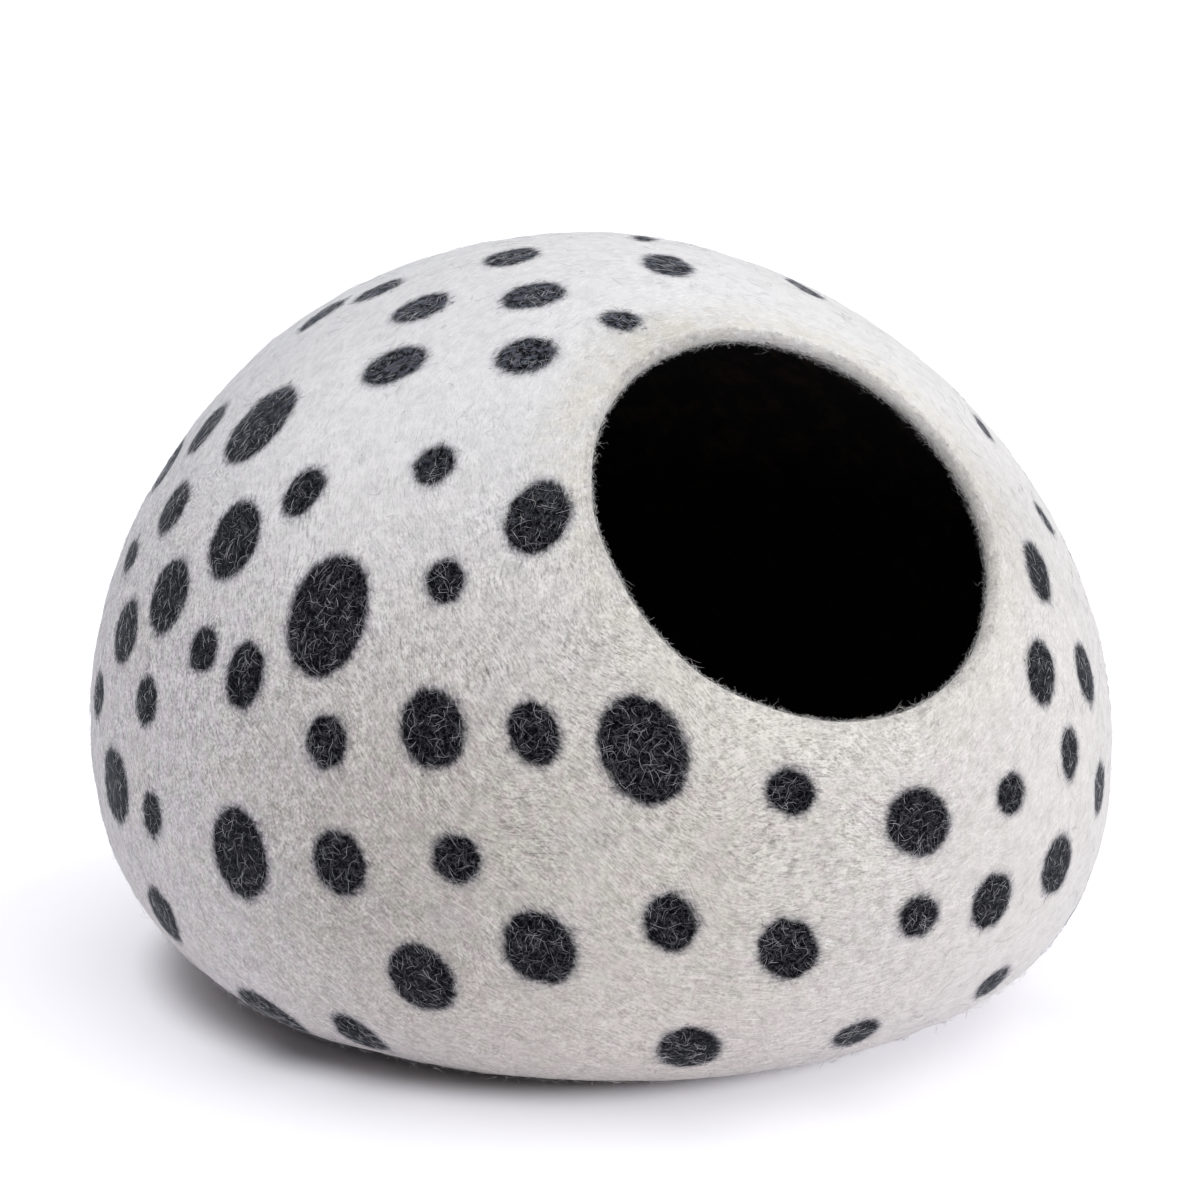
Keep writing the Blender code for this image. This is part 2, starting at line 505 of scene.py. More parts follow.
# %% [markdown]
# The inside of such a cave is a second layer of wool. It is charcoal here, and the lip is where
# the off-white layer rolls over it. A second value on the points gives the way along the felt to
# the edge of that layer, so the material can feather it as it does the spots.

# %% How far each point is from the dark inside
LINING_START = -3.0     # mm: the dark wool begins this far short of the lip's inner shoulder
rolls = np.pi * np.arange(1, LIP_RINGS) / LIP_RINGS
lip_gaps = LINING_START + (np.pi - rolls) * WALL / 2 * MM
inner_steps = np.linalg.norm(np.diff(np.array(inner_rings), axis=0), axis=2).mean(axis=1) * MM
inner_gaps = LINING_START - np.concatenate([[0.0], np.cumsum(inner_steps)])
lining_gap = np.concatenate([
    np.full(outside_count, lip_gaps[0] + 1),
    np.repeat(lip_gaps, SEGMENTS),
    np.repeat(inner_gaps, SEGMENTS),
    [lip_gaps[0] + 1, inner_gaps[-1]],
])
set_value(shell, "lining_gap", lining_gap)

# %% [markdown]
# The fibres of such a cave run round the opening, because that is how the wool is rubbed while
# the rim is shrunk to size. A third value gives each point a place on a tall cylinder: its turn
# round the opening's axis, and how far it lies from the rim along the felt. A noise stretched
# round that cylinder runs round the opening everywhere and has no seam.

# %% The way the fibres lie
COMB_RADIUS = 150.0     # mm, near the mean radius of the rings
LIP_ROLL = np.pi * WALL / 2 * MM


def along_felt(rings):
    """Millimetres along the felt from the first ring to each ring, at each turn."""
    steps = np.linalg.norm(np.diff(np.array(rings), axis=0), axis=2) * MM
    return np.concatenate([np.zeros((1, SEGMENTS)), np.cumsum(steps, axis=0)])


outer_way = along_felt(outer_rings)
lip_way = np.repeat(-rolls * WALL / 2 * MM, SEGMENTS)
inner_way = -LIP_ROLL - along_felt(inner_rings)
from_rim = np.concatenate([
    outer_way[::-1].ravel(), lip_way, inner_way.ravel(), [outer_way[-1].mean(), inner_way[-1].mean()],
])
around = COMB_RADIUS * np.stack([np.cos(turns), np.sin(turns)], axis=1)
around = np.concatenate([np.tile(around, (len(all_rings), 1)), np.zeros((2, 2))])
set_value(shell, "combed", np.column_stack([around, from_rim]))
print("rim to far pole:", round(float(outer_way[-1].mean())), "mm along the felt")

# %% [markdown]
# ## The wool finish
# Felt has no weave. Up close it is a heather: short bent fibres in a few greys, in a base that
# drifts between cool and warm. Three effects make it. Combed fibre is a noise stretched round
# the opening, so it reads as locks, and a bend lets it stray from that way. Curls are a net: the
# edges of random cells, bent by a noise as crimped wool bends, and broken up by another. A felted
# edge is a spot's outline, let wander by a noise and frayed by the fibres that cross it. All are
# node groups, placed again with other sizes. An image would be quicker to render but would blur
# or repeat up close.

# %% Helpers for nodes
def add_node(tree, kind, **settings):
    """A node with some of its settings."""
    node = tree.nodes.new(kind)
    for name, value in settings.items():
        setattr(node, name, value)
    return node


def plug(tree, socket, source):
    """Link a source to a socket, or set the socket's own value."""
    if isinstance(source, bpy.types.NodeSocket):
        tree.links.new(source, socket)
    else:
        socket.default_value = source


def feed(tree, node, **sources):
    """Fill a node's inputs by name, with _ for a space."""
    for name, source in sources.items():
        plug(tree, node.inputs[name.replace("_", " ")], source)
    return node


def maths(tree, operation, first, second=0.0, third=0.0):
    """One step of arithmetic, giving its result's socket."""
    node = add_node(tree, "ShaderNodeMath", operation=operation)
    for socket, source in zip(node.inputs, (first, second, third)):
        plug(tree, socket, source)
    return node.outputs[0]


def place_maths(tree, operation, *sources, result="Vector"):
    """One step of arithmetic on places, giving its result's socket."""
    node = add_node(tree, "ShaderNodeVectorMath", operation=operation)
    for socket, source in zip(node.inputs, sources):
        plug(tree, socket, source)
    return node.outputs[result]


# %% Helpers for places and noise
def scaled(tree, place, size):
    """The place in units of a size, for a texture of that size."""
    node = add_node(tree, "ShaderNodeVectorMath", operation="SCALE")
    return feed(tree, node, Vector=place, Scale=maths(tree, "DIVIDE", 1.0, size)).outputs[0]


def moved(tree, place, step):
    """The place shifted, so that two textures differ."""
    return place_maths(tree, "ADD", place, (step, -step, 0.5 * step))


def own_place(tree):
    """The place on the object, in metres."""
    return add_node(tree, "ShaderNodeTexCoord").outputs["Object"]


def mesh_value(tree, name, output="Fac"):
    """A named value that the mesh's points carry."""
    return add_node(tree, "ShaderNodeAttribute", attribute_name=name).outputs[output]


def axis_of(tree, place, axis):
    """One of a place's three numbers."""
    return feed(tree, add_node(tree, "ShaderNodeSeparateXYZ"), Vector=place).outputs[axis]


def soft_noise(tree, place, size, detail=1.0):
    """Noise of a size in millimetres, from about 0.2 to 0.8."""
    node = add_node(tree, "ShaderNodeTexNoise")
    return feed(tree, node, Vector=scaled(tree, place, size), Scale=1.0, Detail=detail).outputs["Fac"]


def centred(tree, value):
    """A noise less its middle, so that it runs both ways from 0."""
    return maths(tree, "SUBTRACT", value, 0.5)


def between(tree, value, low, high, start=0.0, end=1.0):
    """A soft step from start to end as the value goes from low to high."""
    node = add_node(tree, "ShaderNodeMapRange", interpolation_type="SMOOTHSTEP")
    feed(tree, node, Value=value, From_Min=low, From_Max=high, To_Min=start, To_Max=end)
    return node.outputs["Result"]


# %% Helpers for colours and groups
def blend(tree, factor, first, second, way="MIX"):
    """Two colours mixed, or multiplied, by a factor."""
    node = add_node(tree, "ShaderNodeMix", data_type="RGBA", blend_type=way)
    feed(tree, node, Factor=factor)
    for socket, source in ((node.inputs[6], first), (node.inputs[7], second)):
        plug(tree, socket, (*source, 1.0) if isinstance(source, tuple) else source)
    return node.outputs[2]


def new_group(name, inputs, outputs):
    """An empty node group. An input with a value takes a number, and one with None a place."""
    group = bpy.data.node_groups.new(name, "ShaderNodeTree")
    for socket_name, value in inputs.items():
        kind = "NodeSocketVector" if value is None else "NodeSocketFloat"
        socket = group.interface.new_socket(socket_name, in_out="INPUT", socket_type=kind)
        if value is not None:
            socket.default_value = value
    for socket_name in outputs:
        group.interface.new_socket(socket_name, in_out="OUTPUT", socket_type="NodeSocketFloat")
    return group, group.nodes.new("NodeGroupInput").outputs, group.nodes.new("NodeGroupOutput")


def use_group(tree, group, output, **sources):
    """Place a group in a tree, feed it, and give one of its outputs."""
    node = add_node(tree, "ShaderNodeGroup", node_tree=group)
    return feed(tree, node, **sources).outputs[output]


# %% Node group: combed fibre
FIBRE_ROUGHNESS = 0.78      # how strong the finest fibres are beside the locks they lie in
combed_fibre, given, result = new_group(
    "combed_fibre",
    {"Combed": None, "Bend": 0.0, "Length": 10.0, "Width": 2.0, "Detail": 3.0},
    ["Fibre"],
)
aside = feed(combed_fibre, add_node(combed_fibre, "ShaderNodeCombineXYZ"), Z=given["Bend"])
stretch = add_node(combed_fibre, "ShaderNodeCombineXYZ")
feed(combed_fibre, stretch, X=given["Length"], Y=given["Length"], Z=given["Width"])
bent_place = place_maths(combed_fibre, "ADD", given["Combed"], aside.outputs["Vector"])
in_fibres = place_maths(combed_fibre, "DIVIDE", bent_place, stretch.outputs["Vector"])
grain = add_node(combed_fibre, "ShaderNodeTexNoise")
feed(combed_fibre, grain, Vector=in_fibres, Scale=1.0, Detail=given["Detail"], Roughness=FIBRE_ROUGHNESS)
combed_fibre.links.new(grain.outputs["Fac"], result.inputs["Fibre"])
print("node group:", combed_fibre.name)

# %% Node group: curls of crimped fibre
CRIMP_SIZE = 2.2        # mm, of the bends in a fibre
CRIMP_SWING = 1.2       # mm
BREAK_STEP = 31.0       # moves the noise that breaks the curls
BREAK_RANGE = (-0.02, 0.05)
curls, given, result = new_group(
    "wool_curls", {"Place": None, "Size": 5.0, "Fineness": 0.02, "Broken": 0.45}, ["Mask"]
)
crimp = add_node(curls, "ShaderNodeTexNoise")
feed(curls, crimp, Vector=scaled(curls, given["Place"], CRIMP_SIZE), Scale=1.0, Detail=1.0)
bent_place = place_maths(
    curls, "MULTIPLY_ADD", crimp.outputs["Color"], (CRIMP_SWING,) * 3, given["Place"]
)
net_cells = add_node(curls, "ShaderNodeTexVoronoi", feature="DISTANCE_TO_EDGE")
feed(curls, net_cells, Vector=scaled(curls, bent_place, given["Size"]), Scale=1.0)
line = between(curls, net_cells.outputs["Distance"], 0.0, given["Fineness"], 1.0, 0.0)
breaks = soft_noise(curls, moved(curls, given["Place"], BREAK_STEP), given["Size"])
whole = between(curls, maths(curls, "SUBTRACT", breaks, given["Broken"]), *BREAK_RANGE)
curls.links.new(maths(curls, "MULTIPLY", line, whole), result.inputs["Mask"])
print("node group:", curls.name)

# %% Node group: a felted edge between two wools
WOBBLE_SIZE = 7.0       # mm, of the uneven outline
felted_edge, given, result = new_group(
    "felted_edge",
    {"Gap": 0.0, "Place": None, "Fibre": 0.5, "Wobble": 2.0, "Hairs": 3.0, "Feather": 0.8, "Halo": 3.0},
    ["Mask", "Haze"],
)
wobble = centred(felted_edge, soft_noise(felted_edge, given["Place"], WOBBLE_SIZE))
hairs = centred(felted_edge, given["Fibre"])
edge = maths(felted_edge, "MULTIPLY_ADD", wobble, given["Wobble"], given["Gap"])
edge = maths(felted_edge, "MULTIPLY_ADD", hairs, given["Hairs"], edge)
within = maths(felted_edge, "MULTIPLY", given["Feather"], -1.0)
mask = between(felted_edge, edge, within, given["Feather"], 1.0, 0.0)
felted_edge.links.new(mask, result.inputs["Mask"])
haze = between(felted_edge, edge, 0.0, given["Halo"], 1.0, 0.0)
felted_edge.links.new(haze, result.inputs["Haze"])
print("node group:", felted_edge.name)

# %% [markdown]
# The shell's own material puts them together. The off-white wool is a mix of cool and warm
# whites with faint rosy and straw-coloured drifts and small violet and mossy flecks, creamy
# round the rim. Light and shade are painted on it as well: whiter on the crown as painted top
# light, lighter to the right as painted light, rosier at the base and straw-coloured in front as
# painted warm bounce from the floor, paler high on the left as painted light and greyer low on
# the left as painted shade. Over that lie two sets of combed locks, grey against pale, more
# tangled the farther they lie from the rim, then single grey and pale hairs and a few pale curls.
# Low down in front all of it is a little warmer and darker, a painted warm shade. The charcoal
# wool is nearly black, with mid-grey curls and a mid-grey haze of locks, and lighter and bluer
# on the crown as painted top light. The locks also feed a bump, since the fibres are finer than
# any mesh. All that varies is kept in three short tables, so the recipe below reads as a list of
# wools laid one over another.

# %% The wools
# painted top light: the crown's wool is made whiter and cooler, where the light from above falls
CROWN_PAINTED_LIGHT = (0.95, 0.95, 0.99)
COOL_WHITE = (0.768, 0.716, 0.783)
WARM_WHITE = (0.805, 0.733, 0.665)
# painted light: the wool on the right is made lighter, where the window's light falls more
RIGHT_PAINTED_LIGHT = (0.95, 0.92, 0.885)
ROSY = (0.78, 0.655, 0.635)
STRAW = (0.78, 0.72, 0.59)
CREAM = (0.85, 0.81, 0.70)
CREAM_WOOL = (0.72, 0.68, 0.57)
VIOLET_FLECK = (0.865, 0.695, 0.77)
MOSS_FLECK = (0.735, 0.74, 0.64)
GREY_FIBRE = (0.10, 0.095, 0.10)
PALE_FIBRE = (0.92, 0.91, 0.90)
# painted warm shade: low down in front the wool is made warmer and a little darker, where the floor's
# bounce and the shade fall
WARM_PAINTED_SHADE = (0.955, 0.945, 0.915)  # multiplies the wool's colour low down in front
EDGE_VIOLET = (0.20, 0.195, 0.24)
CHARCOAL = (0.001, 0.001, 0.002)
CHARCOAL_SOFT = (0.005, 0.005, 0.008)
CHARCOAL_CURL = (0.26, 0.26, 0.29)
# painted top light and sky reflection: the charcoal on the crown is made lighter and bluer
CHARCOAL_PAINTED_LIGHT = (0.10, 0.11, 0.14)
INSIDE_DARK = (0.075, 0.064, 0.064)
INSIDE_BROWN = (0.14, 0.105, 0.086)

# How much of a fibre or a wool shows over the one below.
FLECK_SHARE = 0.60
FIBRE_SHARE = 0.60
STRAY_GREY_SHARE = 0.19
PALE_HAIR_SHARE = 0.40
PALE_CURL_SHARE = 0.25
DARK_CURL_SHARE = 0.22
INSIDE_CURL_SHARE = 0.3
HAZE_SHARE = 0.38

# %% Where each wool lies
# Clouds are soft patches of noise of a size in millimetres. A step moves them about, and their
# value goes from start to end as the noise goes from low to high.
Cloud = namedtuple("Cloud", "step size detail low high start end")
CLOUDS = {
    "rosy": Cloud(80.0, 22.0, 2.0, 0.54, 0.70, 0.0, 0.55),
    "straw": Cloud(190.0, 18.0, 2.0, 0.56, 0.72, 0.0, 0.45),
    "flecks": Cloud(330.0, 6.0, 3.0, 0.36, 0.64, 0.0, 1.0),
    "cream": Cloud(120.0, 9.0, 2.0, 0.35, 0.62, 0.35, 1.0),
    "grey drift": Cloud(300.0, 16.0, 2.0, 0.30, 0.68, 0.70, 1.2),
    "grey cloud": Cloud(240.0, 7.0, 2.0, 0.42, 0.66, 0.0, 0.09),
    "charcoal clump": Cloud(55.0, 2.6, 2.0, 0.40, 0.62, 0.0, 1.0),
    "brown": Cloud(0.0, 16.0, 2.0, 0.48, 0.68, 0.0, 0.8),
    "gloss": Cloud(0.0, 3.0, 2.0, 0.3, 0.7, 0.82, 0.98),
}

# Slopes change slowly along an axis of the cave, or along the felt from the rim, in millimetres.
Slope = namedtuple("Slope", "axis low high start end")
SLOPES = {
    "warmth": Slope("Y", -200.0, -40.0, 0.14, -0.10),
    # the straw slope is painted warm bounce light from the floor, in front
    "straw": Slope("Y", -240.0, -60.0, 0.35, 0.0),
    # the rosy slope is painted warm bounce light from the floor, at the base
    "rosy": Slope("Z", 0.0, 110.0, 0.65, 0.0),
    # where the crown's painted top light lies
    "crown": Slope("Z", 150.0, 330.0, 0.0, 1.0),
    # where the right-hand painted light lies
    "painted right light": Slope("X", 0.0, 120.0, 0.0, 0.60),
    "rim": Slope("rim", 4.0, 30.0, 1.0, 0.0),
    "combing": Slope("rim", 60.0, 200.0, 0.29, 0.15),
    "grey up": Slope("Z", 200.0, 320.0, 2.2, 0.45),
    "grey down": Slope("Z", 10.0, 200.0, 0.50, 1.0),
    "grey right": Slope("X", -20.0, 80.0, 1.0, 0.30),
    # where the painted warm shade lies: in front, low down and on the left
    "front": Slope("Y", -200.0, -40.0, 1.0, 0.0),
    "low": Slope("Z", 130.0, 290.0, 1.0, 0.0),
    "left": Slope("X", -80.0, 20.0, 1.0, 0.0),
    # where the charcoal's painted top light lies
    "charcoal painted light": Slope("Z", 240.0, 330.0, 0.0, 0.7),
}

# Patches where the wool is painted paler, with less grey fibre (pale above 0), or greyer (below 0),
# and where it is creamier: a centre and a reach in millimetres, fading outwards. The greyer
# patch low on the left is painted shade and the paler one high on the left painted light.
PaintedLightAndCream = namedtuple("PaintedLightAndCream", "x y z reach pale cream")
PAINTED_LIGHT_AND_CREAM = (
    PaintedLightAndCream(-180, -150, 105, 130, -0.095, 0.0),
    PaintedLightAndCream(105, -175, 238, 70, -0.065, 0.0),
    PaintedLightAndCream(-35, -127, 318, 48, -0.05, 0.40),
    PaintedLightAndCream(-170, -70, 270, 115, 0.095, 0.0),
    PaintedLightAndCream(-45, -235, 195, 75, 0.060, 0.0),
)
print("clouds:", len(CLOUDS), "slopes:", len(SLOPES), "patches:", len(PAINTED_LIGHT_AND_CREAM))

# %% The felt's material
felt = bpy.data.materials.new("spotted_wool_felt")
felt.use_nodes = True
tree = felt.node_tree
shader = tree.nodes["Principled BSDF"]
place = scaled(tree, own_place(tree), 1 / MM)
combed = mesh_value(tree, "combed", "Vector")
axes = {axis: axis_of(tree, place, axis) for axis in "XYZ"}
axes["rim"] = axis_of(tree, combed, "Z")


def cloud(name):
    """Soft patches from the table of clouds."""
    step, size, detail, low, high, start, end = CLOUDS[name]
    patchy = soft_noise(tree, moved(tree, place, step), size, detail)
    return between(tree, patchy, low, high, start, end)


def slope(name):
    """A soft step from the table of slopes."""
    axis, low, high, start, end = SLOPES[name]
    return between(tree, axes[axis], low, high, start, end)


def product(*factors):
    """Several shares multiplied."""
    whole = factors[0]
    for factor in factors[1:]:
        whole = maths(tree, "MULTIPLY", whole, factor)
    return whole


# %% The off-white wool, and the light and shade painted on it
WARMTH_SIZE = 30.0      # mm
WARMTH_RANGE = (0.40, 0.60)

warmth = maths(tree, "ADD", soft_noise(tree, place, WARMTH_SIZE, 2.0), slope("warmth"))
white = blend(tree, between(tree, warmth, *WARMTH_RANGE), COOL_WHITE, WARM_WHITE)
white = blend(tree, cloud("rosy"), white, ROSY)
white = blend(tree, cloud("straw"), white, STRAW)
white = blend(tree, FLECK_SHARE, white, blend(tree, cloud("flecks"), VIOLET_FLECK, MOSS_FLECK))
# painted warm bounce light: straw in front and rosy at the base
white = blend(tree, slope("straw"), white, STRAW)
white = blend(tree, slope("rosy"), white, ROSY)
# painted top light on the crown
white = blend(tree, slope("crown"), white, CROWN_PAINTED_LIGHT)
# painted light on the right-hand side
white = blend(tree, slope("painted right light"), white, RIGHT_PAINTED_LIGHT)
white = blend(tree, slope("rim"), white, blend(tree, cloud("cream"), white, CREAM))
paler = 0.0
# painted light and shade: each patch lifts or lowers the wool's share of pale fibre
for painted_patch in PAINTED_LIGHT_AND_CREAM:
    away = place_maths(tree, "DISTANCE", place, (painted_patch.x, painted_patch.y, painted_patch.z), result="Value")
    within = between(tree, away, 0.0, painted_patch.reach, 1.0, 0.0)
    paler = maths(tree, "MULTIPLY_ADD", within, painted_patch.pale, paler)
    white = blend(tree, product(within, painted_patch.cream), white, CREAM_WOOL)

# %% The fibres in it
# Most fibres lie round the opening. The others cross them at up to half a right angle. Far
# from the rim they are more tangled.
MATTING = 0.68          # the combed and the tangled fibres' share together
TANGLE_STEP = 160.0
TANGLE_SIZE = 1.5       # mm
LUMP_SIZES = (4.5, 1.1)     # mm, of the wool's softer lumps
LUMP_SHARE = 0.16
HAIR_RANGE = (0.60, 0.72)


def bend_of(size, swing, step):
    """Millimetres that the fibres stray from their way, changing over a size."""
    return product(centred(tree, soft_noise(tree, moved(tree, place, step), size, 0.0)), swing)


def strands(bend, step=0.0, **shape):
    """Fibres combed round the opening, bent aside, of a length, width and detail."""
    return use_group(
        tree, combed_fibre, "Fibre", Combed=moved(tree, combed, step), Bend=bend, **shape
    )


along = bend_of(size=60.0, swing=24.0, step=0.0)
crossing = bend_of(size=55.0, swing=55.0, step=40.0)
locks = strands(along, Length=4.4, Width=1.0, Detail=2.0)
crossed = strands(crossing, Length=3.8, Width=0.9, Detail=2.0)
hair = strands(along, step=70.0, Length=7.0, Width=0.6, Detail=0.5)
stray_hair = strands(crossing, step=110.0, Length=5.5, Width=0.6, Detail=0.5)

combing = slope("combing")
tangled = maths(tree, "MULTIPLY_ADD", combing, -2.0, MATTING)   # what the two combed sets leave
tangle = soft_noise(tree, moved(tree, place, TANGLE_STEP), TANGLE_SIZE, 3.0)
matted = product(maths(tree, "ADD", crossed, locks), combing)
matted = maths(tree, "MULTIPLY_ADD", tangle, tangled, matted)
for size in LUMP_SIZES:
    matted = maths(tree, "MULTIPLY_ADD", soft_noise(tree, place, size), LUMP_SHARE, matted)

# %% Grey against pale
# Grey fibre gathers in drifts. There is most of it half way up on the left, and less of it on
# the crown, at the base and to the right.
SHADE_RANGE = (0.20, 0.74)

grey_share = product(slope("grey up"), slope("grey down"), slope("grey right"), cloud("grey drift"))
shade = maths(tree, "MULTIPLY_ADD", centred(tree, matted), grey_share, 0.5)
shade = maths(tree, "ADD", shade, paler)
darker = blend(tree, FIBRE_SHARE, white, GREY_FIBRE)
lighter = blend(tree, FIBRE_SHARE, white, PALE_FIBRE)
wool = blend(tree, between(tree, shade, *SHADE_RANGE), darker, lighter)
wool = blend(tree, cloud("grey cloud"), wool, GREY_FIBRE)
stray_grey = between(tree, stray_hair, *HAIR_RANGE, 0.0, STRAY_GREY_SHARE)
wool = blend(tree, product(stray_grey, grey_share), wool, GREY_FIBRE)
wool = blend(tree, between(tree, hair, *HAIR_RANGE, 0.0, PALE_HAIR_SHARE), wool, PALE_FIBRE)
pale_curls = use_group(
    tree, curls, "Mask", Place=moved(tree, place, 210.0), Size=2.8, Fineness=0.09, Broken=0.46
)
wool = blend(tree, product(pale_curls, PALE_CURL_SHARE), wool, PALE_FIBRE)
# painted warm shade, low down in front and on the left
wool = blend(tree, product(slope("front"), slope("low"), slope("left")), wool, WARM_PAINTED_SHADE, "MULTIPLY")

# %% The charcoal wool
NET_RANGE = (0.56, 0.70)
NET_SHARE = 0.35

clump = cloud("charcoal clump")
dark = blend(tree, clump, CHARCOAL, CHARCOAL_SOFT)
dark_curls = 0.0
for size, step in ((3.2, 5.0), (2.1, 47.0)):
    curl = use_group(
        tree, curls, "Mask", Place=moved(tree, place, step), Size=size, Fineness=0.055, Broken=0.44
    )
    dark_curls = maths(tree, "MAXIMUM", dark_curls, curl)
# painted top light and sky reflection on the crown's spots
dark = blend(tree, product(clump, slope("charcoal painted light")), dark, CHARCOAL_PAINTED_LIGHT)
net = between(tree, maths(tree, "MAXIMUM", crossed, locks), *NET_RANGE, 0.0, NET_SHARE)
dark = blend(tree, product(net, clump), dark, CHARCOAL_CURL)
dark = blend(tree, product(dark_curls, DARK_CURL_SHARE), dark, CHARCOAL_CURL)
inside = blend(tree, cloud("brown"), INSIDE_DARK, INSIDE_BROWN)
inside = blend(tree, product(dark_curls, INSIDE_CURL_SHARE), inside, CHARCOAL_SOFT)

# %% Where the charcoal wool lies
# Off-white fibre creeps over a spot's edge, so the charcoal ends a little inside it.
CREEP = 0.5     # mm

spot_edge = add_node(tree, "ShaderNodeGroup", node_tree=felted_edge)
feed(
    tree, spot_edge,
    Gap=maths(tree, "ADD", mesh_value(tree, "spot_gap"), CREEP),
    Place=place, Fibre=matted, Wobble=2.6, Hairs=8.0, Feather=1.8, Halo=4.5,
)
lining_mask = use_group(
    tree, felted_edge, "Mask",
    Gap=mesh_value(tree, "lining_gap"),
    Place=place, Fibre=crossed, Wobble=4.0, Hairs=10.0, Feather=1.8, Halo=2.0,
)
colour = blend(tree, product(spot_edge.outputs["Haze"], HAZE_SHARE), wool, EDGE_VIOLET)
colour = blend(tree, spot_edge.outputs["Mask"], colour, dark)
colour = blend(tree, lining_mask, colour, inside)
tree.links.new(colour, shader.inputs["Base Color"])

# %% The felt's relief and gloss
bump = add_node(tree, "ShaderNodeBump")
feed(tree, bump, Strength=0.8, Distance=0.0006, Height=matted)
tree.links.new(bump.outputs["Normal"], shader.inputs["Normal"])
tree.links.new(cloud("gloss"), shader.inputs["Roughness"])
shader.inputs["Specular IOR Level"].default_value = 0.04
shader.inputs["Sheen Weight"].default_value = 0.20
shader.inputs["Sheen Roughness"].default_value = 0.35
shader.inputs["Sheen Tint"].default_value = (0.80, 0.88, 1.0, 1.0)
shell.data.materials.append(felt)
print("felt material:", len(tree.nodes), "nodes")

# %% [markdown]
# ## Loose fibres
# Felt is never shaved clean: crimped fibres lie over it, stand up by a hair's breadth at the
# outline and curl over the cut rim. Hair particles would do, but they give no mesh to keep. Here
# each fibre is a thin tube of three sides. Its path is drawn flat as a curl, laid on the skin by
# looking up the nearest point of the shell, and lifted a little.

# %% Where the fibres start
LOWEST_ROOT = 0.002
shell_tree = BVHTree.FromPolygons([Vector(point) for point in shell_points], shell_faces)


def random_places(count, gaps_wanted, seed):
    """Points spread evenly over the outside where the gap to a spot lies in a range, in mm."""
    picker = np.random.default_rng(seed)
    cells = np.array(shell_faces[: (OUTER_RINGS - 1) * SEGMENTS])
    corners = shell_points[cells]
    area = np.linalg.norm(
        np.cross(corners[:, 2] - corners[:, 0], corners[:, 3] - corners[:, 1]), axis=1
    )
    low, high = gaps_wanted
    cell_gap = spot_gap[cells].mean(axis=1)
    area *= (cell_gap > low) & (cell_gap < high) & (corners[:, :, 2].min(axis=1) > LOWEST_ROOT)
    chosen = picker.choice(len(cells), count, p=area / area.sum())
    mix = picker.random((count, 2, 1))
    first = corners[chosen, 0] * (1 - mix[:, 0]) + corners[chosen, 1] * mix[:, 0]
    second = corners[chosen, 3] * (1 - mix[:, 0]) + corners[chosen, 2] * mix[:, 0]
    return first * (1 - mix[:, 1]) + second * mix[:, 1]


def round_opening(points):
    """Headings, from level, that run round the opening at these points."""
    level, steep = skin_ways(outward(points))
    way = np.cross(opening_axis, points - opening_centre)
    return np.arctan2((way * steep).sum(axis=1), (way * level).sum(axis=1))


# %% Growing them
# Sizes in metres: how long, how far it stands off the skin midway and at its tip, and its
# radius. Curl is in radians, and knots are the points along a fibre.
Fibres = namedtuple("Fibres", "length curl lift tip thick knots")
SHORT_TO_LONG = (0.5, 1.3)      # shares of the length
CRIMP_SHARE = 0.6               # of the curl
END_LIFT = 0.25                 # of the lift, at a fibre's two ends
SUNK = 0.6                      # of the radius: a fibre's middle lies this far off the skin


def fibre_mesh(name, roots, headings, kind, seed, material):
    """Fibres as one mesh: roots on the skin, headings in radians from level."""
    picker = np.random.default_rng(seed)
    count = len(roots)
    lengths = kind.length * picker.uniform(*SHORT_TO_LONG, count)
    steps = np.linspace(0.0, 1.0, kind.knots)
    bend = picker.normal(0.0, kind.curl, (count, 1))
    crimp = picker.normal(0.0, CRIMP_SHARE * kind.curl, (count, 1))
    crimp_turn = picker.uniform(0, 2 * np.pi, (count, 1))
    angle = headings[:, None] + bend * (steps - 0.5) + crimp * np.sin(2 * np.pi * steps + crimp_turn)
    stride = lengths[:, None] / (kind.knots - 1)
    flat_x = np.cumsum(np.cos(angle) * stride, axis=1)
    flat_y = np.cumsum(np.sin(angle) * stride, axis=1)
    flat_x -= flat_x.mean(axis=1, keepdims=True)
    flat_y -= flat_y.mean(axis=1, keepdims=True)
    level, steep = skin_ways(outward(roots))
    paths = roots[:, None] + flat_x[..., None] * level[:, None] + flat_y[..., None] * steep[:, None]
    lifts = kind.lift * picker.random((count, 1)) ** 2 * (END_LIFT + np.sin(np.pi * steps))
    lifts = lifts + kind.tip * picker.random((count, 1)) ** 2 * steps ** 2
    found = [shell_tree.find_nearest(Vector(point))[:2] for point in paths.reshape(-1, 3)]
    on_skin = np.array([hit for hit, _ in found]).reshape(paths.shape)
    off_skin = np.array([way for _, way in found]).reshape(paths.shape)
    spine = on_skin + (kind.thick * SUNK + lifts)[..., None] * off_skin
    spine[..., 2] = np.maximum(spine[..., 2], 2 * kind.thick)
    return tubes(name, spine, off_skin, kind, picker, material)


# %% A tube round each fibre
FIBRE_SIDES = 3
THIN_TO_THICK = (0.7, 1.2)      # shares of the radius
END_TAPER = 0.35                # of the radius, at a fibre's two ends


